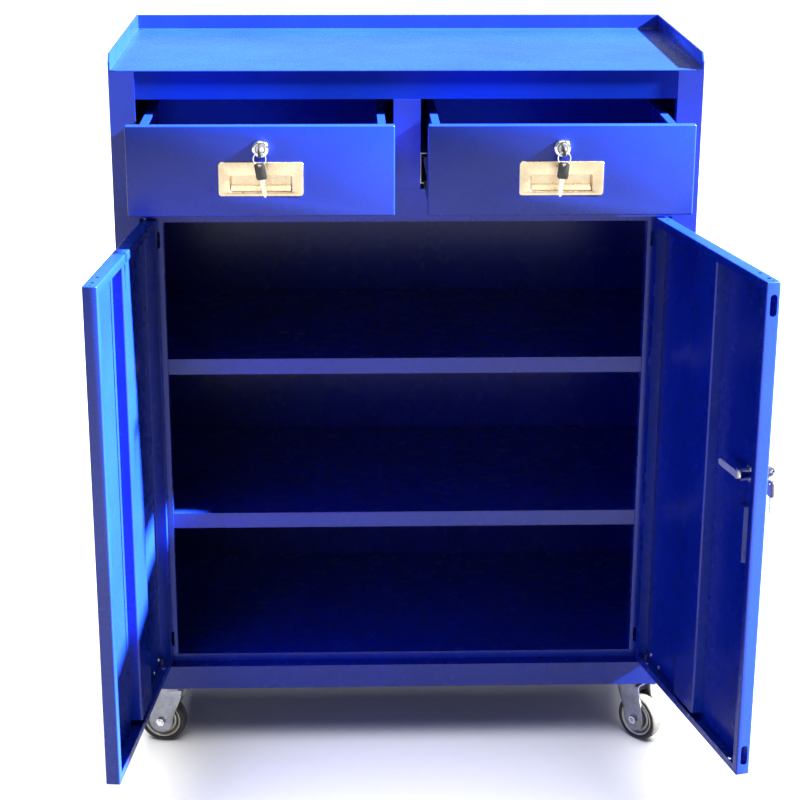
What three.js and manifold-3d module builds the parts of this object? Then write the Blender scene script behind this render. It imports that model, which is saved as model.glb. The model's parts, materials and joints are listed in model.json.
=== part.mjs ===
// Rolling tool chest: a folded-sheet cabinet with a rimmed worktop, two drawers side by side,
// a two-shelf cupboard behind a pair of pivoted doors, and four swivel casters.
// Millimetres, +Z up, front towards -Y. Built about the middle of the cabinet at floor level,
// then moved so that the origin is the middle of the whole footprint.
import * as THREE from 'three';
import { mergeVertices } from 'three/addons/utils/BufferGeometryUtils.js';
import Module from 'manifold-3d';

const wasm = await Module();
wasm.setup();

// ---------------------------------------------------------------- driving dimensions
const WIDTH = 850;              // cabinet, side to side
const DEPTH = 430;              // cabinet, front to back
const BASE_Z = 110;             // underside of the cabinet: the height of the casters
const TOP_Z = 1082;             // worktop surface
const LIP_HEIGHT = 23;          // rim round the worktop
const SHEET = 1.2;              // steel sheet
const GAP = 0.3;                // between pieces that touch

const STILE = 36.5;             // front face of each side post
const JAMB_LIP = 31.5;          // door stop that stands inwards from the post
const REBATE = 22;              // depth of the door recess
const TOP_RAIL_Z = 1040;        // underside of the rail over the drawers
const MID_RAIL_TOP = 909;
const MID_RAIL_BOTTOM = 867;
const BOTTOM_RAIL_TOP = 148;
const FLOOR_Z = 160;            // cupboard floor
const SHELF_TOPS = { upper_shelf: 645, lower_shelf: 396.5 };
const POST_HALF = 19.5;         // centre post between the drawers

const DOOR_WIDTH = 385;
const DOOR_BOTTOM = 150;
const DOOR_TOP = 865;
const DOOR_THICK = 20;
const PIVOT_IN = 6;             // pivot axis from the hinge end of the door
const PIVOT_BACK = 4;           // pivot axis behind the outer face
const STIFFENER = [150, 220];   // walls of the stiffener, from the hinge end
const LEFT_OPEN = 96.4;         // degrees that each door stands open
const RIGHT_OPEN = 103.3;

const DRAWER_X = 204;           // middle of each drawer from the middle of the cabinet
const DRAWER_OUT = 180;         // how far the drawers are pulled out
const FRONT_HALF = 181.5;
const FRONT_BOTTOM = 911;
const FRONT_TOP = 1035;
const FRONT_THICK = 14;
const BOX_HALF = 171.5;
const BOX_BOTTOM = 918;
const BOX_TOP = 1018;
const BOX_LENGTH = 375;
const SLIDE_Z = 936.5;          // middle of the drawer slides
const LOCK_Z = 1004.5;
const PULL_Z = 962.5;

const DOOR_LOCK_ALONG = 335;    // from the hinge end of the door
const DOOR_LOCK_Z = 583;
const DOOR_PULL_ALONG = 327;
const DOOR_PULL_Z = 495;

const CASTER_X = 370;
const FRONT_CASTER_Y = -172;
const REAR_CASTER_Y = 164;
const WHEEL_RADIUS = 37.5;
const WHEEL_WIDTH = 24;
const TRAIL = 16;

const FRONT = -DEPTH / 2;
const BACK = DEPTH / 2;
const SIDE = WIDTH / 2;
const STOP_Y = FRONT + REBATE;  // face that the closed doors rest near

// ---------------------------------------------------------------- paints and metals
const material = (color, roughness, metalness) =>
  new THREE.MeshStandardMaterial({ color, roughness, metalness });
const bluePaint = material(0x1420b4, 0.42, 0.0);
const zinc = material(0xb4b6b8, 0.34, 1.0);
const nickel = material(0xd2c6a8, 0.3, 1.0);
const chrome = material(0xdcdcdc, 0.12, 1.0);
const blackPlastic = material(0x141414, 0.5, 0.0);
const tyreRubber = material(0x1b1a19, 0.72, 0.0);

// ---------------------------------------------------------------- solids
function toSolid(geometry) {
  const bare = geometry.index ? geometry.clone() : geometry;
  bare.deleteAttribute('normal');
  bare.deleteAttribute('uv');
  const merged = mergeVertices(bare, 1e-4);
  return new wasm.Manifold(new wasm.Mesh({
    numProp: 3,
    vertProperties: new Float32Array(merged.attributes.position.array),
    triVerts: new Uint32Array(merged.index.array),
  }));
}

function toGeometry(solid) {
  const mesh = solid.getMesh();
  const geometry = new THREE.BufferGeometry();
  geometry.setAttribute('position', new THREE.BufferAttribute(mesh.vertProperties, 3));
  geometry.setIndex(new THREE.BufferAttribute(mesh.triVerts, 1));
  return geometry;
}

const union = (solids) => solids.reduce((joined, solid) => joined.add(solid));
const cut = (solid, holes) => holes.reduce((left, hole) => left.subtract(hole), solid);

// A block between two limits on each axis, in either order.
function block([x0, x1], [y0, y1], [z0, z1]) {
  const geometry = new THREE.BoxGeometry(Math.abs(x1 - x0), Math.abs(y1 - y0), Math.abs(z1 - z0));
  geometry.translate((x0 + x1) / 2, (y0 + y1) / 2, (z0 + z1) / 2);
  return toSolid(geometry);
}

// A round bar along an axis ('x', 'y' or 'z') between two limits on it.
function bar(axis, radius, [from, to], centre = [0, 0], segments = 24) {
  const geometry = new THREE.CylinderGeometry(radius, radius, Math.abs(to - from), segments);
  const middle = (from + to) / 2;
  if (axis === 'x') {
    geometry.rotateZ(Math.PI / 2);
    geometry.translate(middle, centre[0], centre[1]);
  } else if (axis === 'y') {
    geometry.translate(centre[0], middle, centre[1]);
  } else {
    geometry.rotateX(Math.PI / 2);
    geometry.translate(centre[0], centre[1], middle);
  }
  return toSolid(geometry);
}

// Extrudes a flat shape: its own axes become (y, z), (x, z) or (x, y) for lengths on x, y or z.
function extrude(shape, axis, [from, to]) {
  const low = Math.min(from, to);
  const high = Math.max(from, to);
  const options = { depth: high - low, bevelEnabled: false, curveSegments: 5 };
  const geometry = new THREE.ExtrudeGeometry(shape, options);
  const turn = new THREE.Matrix4();
  if (axis === 'x') {
    turn.makeBasis(new THREE.Vector3(0, 1, 0), new THREE.Vector3(0, 0, 1), new THREE.Vector3(1, 0, 0));
    geometry.applyMatrix4(turn);
    geometry.translate(low, 0, 0);
  } else if (axis === 'y') {
    turn.makeBasis(new THREE.Vector3(1, 0, 0), new THREE.Vector3(0, 0, 1), new THREE.Vector3(0, -1, 0));
    geometry.applyMatrix4(turn);
    geometry.translate(0, high, 0);
  } else {
    geometry.translate(0, 0, low);
  }
  return toSolid(geometry);
}

// The closed outline of a folded sheet: a path of straight runs, thickened to its left side.
function foldedOutline(path, thickness = SHEET) {
  const points = path.map(([u, v]) => new THREE.Vector2(u, v));
  const offset = points.map((point, i) => {
    const before = i > 0 ? point.clone().sub(points[i - 1]).normalize() : null;
    const after = i < points.length - 1 ? points[i + 1].clone().sub(point).normalize() : null;
    const along = before && after ? before.clone().add(after).normalize() : (before ?? after);
    const left = new THREE.Vector2(-along.y, along.x);
    const run = before ?? after;
    const square = new THREE.Vector2(-run.y, run.x);
    return point.clone().addScaledVector(left, thickness / left.dot(square));
  });
  return new THREE.Shape([...points, ...offset.reverse()]);
}

const folded = (path, axis, limits, thickness = SHEET) =>
  extrude(foldedOutline(path, thickness), axis, limits);

// A plate with rounded corners, centred on (cx, cz), standing across y.
function roundedPlate(width, height, radius, [y0, y1], [cx, cz] = [0, 0]) {
  const w = width / 2;
  const h = height / 2;
  const shape = new THREE.Shape();
  shape.moveTo(cx - w + radius, cz - h);
  shape.lineTo(cx + w - radius, cz - h);
  shape.absarc(cx + w - radius, cz - h + radius, radius, -Math.PI / 2, 0);
  shape.lineTo(cx + w, cz + h - radius);
  shape.absarc(cx + w - radius, cz + h - radius, radius, 0, Math.PI / 2);
  shape.lineTo(cx - w + radius, cz + h);
  shape.absarc(cx - w + radius, cz + h - radius, radius, Math.PI / 2, Math.PI);
  shape.lineTo(cx - w, cz - h + radius);
  shape.absarc(cx - w + radius, cz - h + radius, radius, Math.PI, Math.PI * 1.5);
  return extrude(shape, 'y', [y0, y1]);
}

function addMesh(parent, name, solid, paint) {
  const mesh = new THREE.Mesh(toGeometry(solid), paint);
  mesh.name = name;
  parent.add(mesh);
  return mesh;
}

// ---------------------------------------------------------------- cabinet shell
const SHELL_TOP = TOP_Z - 2 - GAP;
const POST_INNER = SIDE - STILE;
const STOP_INNER = POST_INNER - JAMB_LIP;
const HINGE_SLOT = [8, 24];

// Side wall, front post and door stop folded from one sheet; side is -1 left, 1 right.
function sidePanel(side) {
  const wall = block([side * SIDE, side * (SIDE - SHEET)], [FRONT, BACK], [BASE_Z, SHELL_TOP]);
  const rearFlange = block([side * SIDE, side * (SIDE - 20)], [BACK - SHEET, BACK], [BASE_Z, SHELL_TOP]);
  const post = block([side * SIDE, side * POST_INNER], [FRONT, FRONT + SHEET], [BASE_Z, SHELL_TOP]);
  const postReturn = block(
    [side * POST_INNER, side * (POST_INNER + SHEET)], [FRONT, STOP_Y + SHEET], [BASE_Z, SHELL_TOP]);
  const stopZ = [FLOOR_Z + GAP, MID_RAIL_BOTTOM - GAP];
  const stop = block([side * (POST_INNER + SHEET), side * STOP_INNER], [STOP_Y, STOP_Y + SHEET], stopZ);
  const stopReturn = block(
    [side * STOP_INNER, side * (STOP_INNER + SHEET)], [STOP_Y, STOP_Y + 23], stopZ);
  const slots = [186, 829].map((z) => block(
    [side * (STOP_INNER + 5), side * (STOP_INNER + 5 + HINGE_SLOT[0])],
    [STOP_Y - 1, STOP_Y + SHEET + 1],
    [z - HINGE_SLOT[1] / 2, z + HINGE_SLOT[1] / 2]));
  return cut(union([wall, rearFlange, post, postReturn, stop, stopReturn]), slots);
}

const INNER_HALF = SIDE - SHEET - GAP;
const RAIL_HALF = POST_INNER - GAP;
const BACK_PANEL_Y = BACK - SHEET - GAP - SHEET;

function backPanel() {
  const sheet = block([-INNER_HALF, INNER_HALF], [BACK_PANEL_Y, BACK_PANEL_Y + SHEET],
    [FLOOR_Z + GAP, SHELL_TOP]);
  const skirt = block([-(SIDE - 20 - GAP), SIDE - 20 - GAP], [BACK_PANEL_Y, BACK_PANEL_Y + SHEET],
    [BASE_Z, FLOOR_Z + 2]);
  return sheet.add(skirt);
}

// Flat top with a rim on three sides; the side rims are bevelled at their front ends.
function worktop() {
  const rimThick = 3;
  const bevel = 12;
  const sheet = block([-SIDE, SIDE], [FRONT, BACK], [TOP_Z - 2, TOP_Z]);
  const rimTop = TOP_Z + LIP_HEIGHT;
  const backRim = block([-SIDE, SIDE], [BACK - rimThick, BACK], [TOP_Z - 1, rimTop]);
  const sideShape = new THREE.Shape([
    new THREE.Vector2(FRONT, TOP_Z - 1),
    new THREE.Vector2(BACK, TOP_Z - 1),
    new THREE.Vector2(BACK, rimTop),
    new THREE.Vector2(FRONT + bevel, rimTop),
    new THREE.Vector2(FRONT, rimTop - bevel),
  ]);
  const rims = [-1, 1].map((side) => extrude(sideShape, 'x', [side * SIDE, side * (SIDE - rimThick)]));
  return union([sheet, backRim, ...rims]);
}

function topRail() {
  const face = FRONT + SHEET + GAP;
  const path = [[FRONT + 19, TOP_RAIL_Z + 9], [FRONT + 19, TOP_RAIL_Z], [face, TOP_RAIL_Z],
    [face, SHELL_TOP], [FRONT + 16, SHELL_TOP]];
  return folded(path.reverse(), 'x', [-RAIL_HALF, RAIL_HALF]);
}

const POST_BACK = FRONT + 30;

function centrePost() {
  const path = [[-POST_HALF, POST_BACK], [-POST_HALF, FRONT], [POST_HALF, FRONT], [POST_HALF, POST_BACK]];
  return folded(path, 'z', [MID_RAIL_TOP + GAP, TOP_RAIL_Z - GAP]);
}

// Rail under the drawers, with the door recess and door stop folded into it.
function midRail(pinHoles) {
  const path = [[POST_BACK, MID_RAIL_TOP], [FRONT, MID_RAIL_TOP], [FRONT, MID_RAIL_BOTTOM],
    [STOP_Y, MID_RAIL_BOTTOM], [STOP_Y, MID_RAIL_BOTTOM - 11], [STOP_Y + 18, MID_RAIL_BOTTOM - 11]];
  const rail = folded(path, 'x', [-RAIL_HALF, RAIL_HALF]);
  const ends = [-1, 1].map((side) => block(
    [side * (STOP_INNER - GAP), side * (RAIL_HALF + 5)],
    [STOP_Y - 0.5, STOP_Y + 30],
    [MID_RAIL_BOTTOM - 20, MID_RAIL_BOTTOM + SHEET + 0.5]));
  return cut(rail, [...ends, ...pinHoles]);
}

// Cupboard floor with the ledge, door stop and bottom rail folded down at its front.
function floorPanel(pinHoles) {
  const rearY = BACK_PANEL_Y - GAP;
  const wideFrom = STOP_Y + 4;
  const path = [[wideFrom + 2, FLOOR_Z], [STOP_Y, FLOOR_Z], [STOP_Y, BOTTOM_RAIL_TOP],
    [FRONT, BOTTOM_RAIL_TOP], [FRONT, BASE_Z], [FRONT + 22, BASE_Z]];
  const rail = folded(path, 'x', [-RAIL_HALF, RAIL_HALF]);
  const floor = block([-INNER_HALF, INNER_HALF], [wideFrom, rearY], [FLOOR_Z - SHEET, FLOOR_Z]);
  return cut(rail.add(floor), pinHoles);
}

// Channel under the floor that carries the front and rear casters of one side.
function baseChannel(side) {
  const half = 38;
  const top = FLOOR_Z - SHEET - GAP;
  const path = [[-half, top], [-half, BASE_Z], [half, BASE_Z], [half, top]];
  const shape = path.map(([x, z]) => [side * CASTER_X + x, z]);
  return folded(shape, 'y', [FRONT + 24, BACK_PANEL_Y - GAP]);
}

// Shelf tray: folded down on all sides and notched round the door stops.
function shelf(topZ) {
  const frontY = STOP_Y + 3;
  const wideFrom = STOP_Y + 27;
  const rearY = BACK_PANEL_Y - 3;
  const fold = 24;
  const narrow = STOP_INNER - GAP;
  const wide = INNER_HALF - 1;
  const sheet = [topZ - SHEET, topZ];
  const drop = [topZ - fold, topZ];
  return union([
    block([-narrow, narrow], [frontY, wideFrom + 5], sheet),
    block([-wide, wide], [wideFrom, rearY], sheet),
    block([-narrow, narrow], [frontY, frontY + SHEET], drop),
    block([-narrow, narrow], [frontY, frontY + 12], [topZ - fold, topZ - fold + SHEET]),
    block([-wide, wide], [rearY - SHEET, rearY], drop),
    ...[-1, 1].map((side) => block([side * wide, side * (wide - SHEET)], [wideFrom, rearY], drop)),
  ]);
}

// Sheet that closes the top of the cupboard under the drawers.
function dustPanel() {
  const top = MID_RAIL_TOP - SHEET - GAP;
  const sheet = block([-INNER_HALF, INNER_HALF], [STOP_Y + 2, BACK_PANEL_Y - GAP], [top - SHEET, top]);
  const frontFold = block([-RAIL_HALF, RAIL_HALF], [STOP_Y + 2, STOP_Y + 2 + SHEET], [top - 14, top]);
  return sheet.add(frontFold);
}

// Channel between the drawers, from the centre post to the back, that carries the inner slides.
function slideSupport() {
  const bottom = MID_RAIL_TOP + GAP;
  const half = POST_HALF - GAP;
  const path = [[-half, bottom + 62], [-half, bottom], [half, bottom], [half, bottom + 62]];
  return folded(path, 'y', [POST_BACK + GAP, BACK_PANEL_Y - GAP]);
}

// ---------------------------------------------------------------- drawers
const SLIDE_FRONT = FRONT + 16;
const SLIDE_LENGTH = 365;
const FIXED_HALF = 22.5;        // half the height of the fixed slide member
const MOVING_HALF = 17;         // half the height of the moving slide member
const BRACKET_HALF = 14;

// Fixed slide member: a channel open towards the drawer. wall is the x of its mounting face,
// inward the direction (-1 or 1) from that face to the drawer.
function fixedSlide(wall, inward, bracketTo) {
  const y = [SLIDE_FRONT, SLIDE_FRONT + SLIDE_LENGTH];
  const reach = wall + inward * 9.5;
  const pieces = [
    block([wall, wall + inward * SHEET], y, [SLIDE_Z - FIXED_HALF, SLIDE_Z + FIXED_HALF]),
    block([wall, reach], y, [SLIDE_Z + FIXED_HALF - SHEET, SLIDE_Z + FIXED_HALF]),
    block([wall, reach], y, [SLIDE_Z - FIXED_HALF, SLIDE_Z - FIXED_HALF + SHEET]),
  ];
  if (bracketTo !== undefined) {
    const z = [SLIDE_Z - BRACKET_HALF, SLIDE_Z + BRACKET_HALF];
    for (const at of [FRONT + 55, BACK - 75]) {
      pieces.push(block([wall + inward * 0.5, bracketTo], [at, at + 1.5], z));
      pieces.push(block([bracketTo, bracketTo + inward * 1.5], [at, at + 25], z));
    }
  }
  return union(pieces);
}

// Moving slide member, fastened to the drawer side; it runs inside the fixed one.
function movingSlide(side) {
  const face = side * (BOX_HALF + GAP);
  const y = [FRONT_THICK + 4, FRONT_THICK + SLIDE_LENGTH];
  const reach = face + side * 8.5;
  return union([
    block([face, face + side * SHEET], y, [SLIDE_Z - MOVING_HALF, SLIDE_Z + MOVING_HALF]),
    block([face, reach], y, [SLIDE_Z + MOVING_HALF - SHEET, SLIDE_Z + MOVING_HALF]),
    block([face, reach], y, [SLIDE_Z - MOVING_HALF, SLIDE_Z - MOVING_HALF + SHEET]),
  ]);
}

const LOCK_HOLE = 9.8;
const RECESS = [86, 24];
const RECESS_DROP = 6.25;       // recess below the middle of the pull plate

function drawerFront() {
  const outer = block([-FRONT_HALF, FRONT_HALF], [0, FRONT_THICK], [FRONT_BOTTOM, FRONT_TOP]);
  const hollow = block([-FRONT_HALF + SHEET, FRONT_HALF - SHEET], [SHEET, FRONT_THICK + 1],
    [FRONT_BOTTOM + SHEET, FRONT_TOP - SHEET]);
  const pullHole = block([-RECESS[0] / 2 - 1, RECESS[0] / 2 + 1], [-1, 5],
    [PULL_Z - RECESS_DROP - RECESS[1] / 2 - 1, PULL_Z - RECESS_DROP + RECESS[1] / 2 + 1]);
  return cut(outer, [hollow, pullHole, bar('y', LOCK_HOLE, [-1, 5], [0, LOCK_Z])]);
}

// Drawer tray with a flat rim folded inwards along each side and the back.
function drawerBox() {
  const y = [FRONT_THICK + GAP, FRONT_THICK + BOX_LENGTH];
  const rim = 11;
  const outer = block([-BOX_HALF, BOX_HALF], y, [BOX_BOTTOM, BOX_TOP]);
  const lower = block([-BOX_HALF + SHEET, BOX_HALF - SHEET], [y[0] + SHEET, y[1] - SHEET],
    [BOX_BOTTOM + SHEET, BOX_TOP - 3]);
  const mouth = block([-BOX_HALF + rim, BOX_HALF - rim], [y[0] + SHEET, y[1] - 6],
    [BOX_TOP - 4, BOX_TOP + 1]);
  return cut(outer, [lower, mouth, bar('y', LOCK_HOLE, [y[0] - 1, y[0] + 3], [0, LOCK_Z])]);
}

// Flush pull: a rounded plate with a finger recess pressed into it, standing on the face at y = 0.
function flushPull() {
  const plate = roundedPlate(115, 47, 4, [-GAP - 1.8, -GAP]);
  const centre = [0, -RECESS_DROP];
  const cup = roundedPlate(RECESS[0], RECESS[1], 2, [-GAP - 1, 10.5], centre);
  const hollow = roundedPlate(RECESS[0] - 2.4, RECESS[1] - 2.4, 1.5, [-GAP - 3, 9.3], centre);
  return cut(plate.add(cup), [hollow]);
}

// ---------------------------------------------------------------- locks and keys
// Each lock is built about its own axis (x = z = 0) with the face that it stands on at y = 0.
const PLUG_RADIUS = 5.7;
const DRAWER_CAM = 38;          // turned up it stands behind the top rail's flange
const DOOR_CAM = 58;            // turned over it stands behind the other door's edge
const KEY_BOW_Y = -10;          // front of the lock to the start of the key's bow

function ring(profile, segments = 24) {
  const points = profile.map(([radius, y]) => new THREE.Vector2(radius, y));
  points.push(points[0].clone());
  return toSolid(new THREE.LatheGeometry(points, segments));
}

function lockBody() {
  return ring([[6, -7.4], [9.5, -7.4], [11.6, -5.4], [12.5, -2.4], [12.5, -GAP], [9.4, -GAP],
    [9.4, 21], [6, 21]]);
}

// Turning plug with its cam, which points to the right in the unlocked place shown.
function lockPlug(camLength) {
  const barrel = bar('y', PLUG_RADIUS, [-7, 24]);
  const keyway = block([-1.1, 1.1], [-8, 15], [-3.6, 3.6]);
  const cam = roundedPlate(9, camLength + 4.5, 4.4, [22, 24], [0, 4.5 - (camLength + 4.5) / 2]);
  const geometry = toGeometry(cam);
  geometry.rotateY(-Math.PI / 2);
  return cut(barrel, [keyway]).add(toSolid(geometry));
}

function insertedKey() {
  const blade = block([-0.8, 0.8], [KEY_BOW_Y + 1, 14], [-3.2, 3.2]);
  const bow = new THREE.Shape();
  bow.absarc(KEY_BOW_Y - 5, 0, 7.5, -Math.PI / 2, Math.PI / 2);
  bow.lineTo(KEY_BOW_Y - 16, 7.5);
  bow.absarc(KEY_BOW_Y - 16, 0, 7.5, Math.PI / 2, Math.PI * 1.5);
  const body = extrude(bow, 'x', [-2.2, 2.2]);
  return cut(blade.add(body), [bar('x', 2.8, [-4, 4], [KEY_BOW_Y - 19, 0], 16)]);
}

const RING_RADIUS = 8.5;
const RING_Y = KEY_BOW_Y - 19;

// Split ring through the key's bow, with the spare key hanging from it.
function spareKey(lean) {
  const torus = new THREE.TorusGeometry(RING_RADIUS, 0.9, 8, 24);
  torus.rotateX(Math.PI / 2);
  torus.translate(0, RING_Y, -RING_RADIUS);
  const top = -2 * RING_RADIUS + 3;
  const bow = roundedPlate(15, 23, 3, [RING_Y - 2.2, RING_Y + 2.2], [0, top - 11.5]);
  const blade = block([-3.6, 3.6], [RING_Y - 0.8, RING_Y + 0.8], [top - 48, top - 22]);
  const hanging = toGeometry(bow.add(blade));
  hanging.translate(0, 0, 2 * RING_RADIUS);
  hanging.rotateY(lean);
  hanging.translate(0, 0, -2 * RING_RADIUS);
  return toSolid(torus).add(toSolid(hanging));
}

function addLock(parent, prefix, position, camLength, lean) {
  const group = new THREE.Group();
  group.position.set(...position);
  parent.add(group);
  addMesh(group, `${prefix}_lock_body`, lockBody(), chrome);
  addMesh(group, `${prefix}_lock_cam`, lockPlug(camLength), zinc);
  addMesh(group, `${prefix}_key`, insertedKey(), blackPlastic);
  addMesh(group, `${prefix}_spare_key`, spareKey(lean), blackPlastic);
}

// ---------------------------------------------------------------- doors
// Door in its closed place about its pivot axis; side is -1 for the left door, 1 for the right.
function doorPanel(side, hasLock) {
  const at = (along) => side * (PIVOT_IN - along);
  const yOut = -PIVOT_BACK;
  const yIn = yOut + DOOR_THICK;
  const z = [DOOR_BOTTOM, DOOR_TOP];
  const lip = 12;
  const outer = block([at(0), at(DOOR_WIDTH)], [yOut, yIn], z);
  const pan = block([at(SHEET), at(DOOR_WIDTH - SHEET)], [yOut + SHEET, yIn - SHEET],
    [z[0] + SHEET, z[1] - SHEET]);
  const mouth = block([at(lip), at(DOOR_WIDTH - lip)], [yIn - 3, yIn + 1], [z[0] + lip, z[1] - lip]);
  const stiffenerPath = [
    [STIFFENER[0] - 13, 0], [STIFFENER[0], 0], [STIFFENER[0], 15],
    [STIFFENER[1], 15], [STIFFENER[1], 0], [STIFFENER[1] + 13, 0],
  ].map(([along, off]) => [at(along), yOut + SHEET - 0.1 + off]);
  const stiffener = folded(side > 0 ? stiffenerPath.reverse() : stiffenerPath, 'z',
    [z[0] + 15, z[1] - 13]);
  const recessAlong = DOOR_PULL_ALONG + RECESS_DROP;
  const holes = [
    block([at(recessAlong - RECESS[1] / 2 - 1), at(recessAlong + RECESS[1] / 2 + 1)], [yOut - 1, yOut + 4],
      [DOOR_PULL_Z - RECESS[0] / 2 - 1, DOOR_PULL_Z + RECESS[0] / 2 + 1]),
    bar('z', 2.8, [z[0] - 1, z[0] + 3], [0, 0], 16),
    bar('z', 2.8, [z[1] - 3, z[1] + 1], [0, 0], 16),
  ];
  for (const along of [22, 338, 366]) {
    holes.push(bar('z', 2.8, [z[1] - 3, z[1] + 1], [at(along), yOut + 9], 12));
  }
  if (hasLock) {
    holes.push(bar('y', LOCK_HOLE, [yOut - 1, yOut + 4], [at(DOOR_LOCK_ALONG), DOOR_LOCK_Z]));
    for (const slotZ of [DOOR_BOTTOM + 30, DOOR_TOP - 32]) {
      holes.push(block([at(DOOR_WIDTH - 3), at(DOOR_WIDTH + 1)], [yOut + 4, yOut + 14],
        [slotZ - 15, slotZ + 15]));
    }
  }
  return cut(outer, [pan, mouth]).add(stiffener).subtract(union(holes));
}

const PIN_RADIUS = 2.4;
const pivotX = (side) => side * (POST_INNER - 1.5 - PIVOT_IN);
const PIVOT_Y = FRONT + PIVOT_BACK;

// Plate behind a rail that holds a pivot pin.
function pivotPlate(side, z) {
  const x = pivotX(side);
  return block([x - side * 8, x + side * 6.5], [FRONT + SHEET + GAP, STOP_Y - 4], z);
}

function topPivot(side) {
  const plateZ = MID_RAIL_BOTTOM + SHEET + GAP;
  const pin = bar('z', PIN_RADIUS, [DOOR_TOP - 9, plateZ + 1], [pivotX(side), PIVOT_Y], 16);
  return pivotPlate(side, [plateZ, plateZ + 2]).add(pin);
}

function bottomPivot(side) {
  const x = pivotX(side);
  const plateZ = BOTTOM_RAIL_TOP - SHEET - GAP;
  const pin = bar('z', PIN_RADIUS, [plateZ - 1, DOOR_BOTTOM + 9], [x, PIVOT_Y], 16);
  const washer = bar('z', 5, [BOTTOM_RAIL_TOP + GAP, DOOR_BOTTOM - GAP], [x, PIVOT_Y + 1], 16);
  return union([pivotPlate(side, [plateZ - 2, plateZ]), washer, pin]);
}

function railPinHoles(z) {
  return [-1, 1].map((side) => bar('z', PIN_RADIUS + GAP, [z - 3, z + 3], [pivotX(side), PIVOT_Y], 16));
}

// ---------------------------------------------------------------- casters
const PLATE_Z = BASE_Z - GAP;
const RACE_Z = PLATE_Z - 11;

// Mounting plate with the upper race and kingpin, about the swivel axis.
function casterPlate() {
  return union([
    block([-34, 34], [-30, 30], [PLATE_Z - 3, PLATE_Z]),
    bar('z', 21, [RACE_Z, PLATE_Z - 2]),
    bar('z', 5, [RACE_Z - 7, RACE_Z + 1], [0, 0], 16),
  ]);
}

// Swivel fork and axle: the wheel trails towards -x.
function casterFork() {
  const headZ = [RACE_Z - 6, RACE_Z - GAP];
  const halfGap = WHEEL_WIDTH / 2 + 2;
  const legRound = 19;
  const legShape = new THREE.Shape();
  const axle = [-TRAIL, WHEEL_RADIUS];
  legShape.moveTo(-23, headZ[1]);
  legShape.lineTo(-23, headZ[1] - 14);
  legShape.lineTo(axle[0] - legRound, axle[1] + 2);
  legShape.absarc(axle[0], axle[1], legRound, Math.PI, Math.PI * 2);
  legShape.lineTo(18, headZ[1] - 14);
  legShape.lineTo(20, headZ[1]);
  const legs = [-1, 1].map((side) => extrude(legShape, 'y', [side * halfGap, side * (halfGap + 2.5)]));
  const head = cut(union([
    bar('z', 22, headZ),
    block([-23, 20], [-halfGap - 2.5, halfGap + 2.5], [headZ[1] - 3, headZ[1]]),
  ]), [bar('z', 5 + GAP, [headZ[0] - 1, headZ[1] + 1], [0, 0], 16)]);
  const bolt = bar('y', 4, [-halfGap - 7, halfGap + 7], axle, 16);
  const heads = [-1, 1].map((side) =>
    bar('y', 7, [side * (halfGap + 2), side * (halfGap + 7)], axle, 6));
  return union([head, ...legs, bolt, ...heads]);
}

// Rubber-tyred wheel about its axle, which lies along y.
function casterWheel() {
  const half = WHEEL_WIDTH / 2;
  const R = WHEEL_RADIUS;
  return ring([[4 + GAP, -half], [11, -half], [12.5, -half + 4], [24, -half + 4], [26, -half + 1],
    [R - 3, -half + 1], [R - 0.6, -half + 4], [R, 0], [R - 0.6, half - 4], [R - 3, half - 1],
    [26, half - 1], [24, half - 4], [12.5, half - 4], [11, half], [4 + GAP, half]], 32);
}

// ---------------------------------------------------------------- assembly
const chest = new THREE.Group();

addMesh(chest, 'left_side_panel', sidePanel(-1), bluePaint);
addMesh(chest, 'right_side_panel', sidePanel(1), bluePaint);
addMesh(chest, 'back_panel', backPanel(), bluePaint);
addMesh(chest, 'worktop', worktop(), bluePaint);
addMesh(chest, 'top_rail', topRail(), bluePaint);
addMesh(chest, 'centre_post', centrePost(), bluePaint);
addMesh(chest, 'mid_rail', midRail(railPinHoles(MID_RAIL_BOTTOM)), bluePaint);
addMesh(chest, 'floor_panel', floorPanel(railPinHoles(BOTTOM_RAIL_TOP)), bluePaint);
addMesh(chest, 'dust_panel', dustPanel(), bluePaint);
addMesh(chest, 'slide_support', slideSupport(), bluePaint);
for (const [name, topZ] of Object.entries(SHELF_TOPS)) {
  addMesh(chest, name, shelf(topZ), bluePaint);
}

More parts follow.
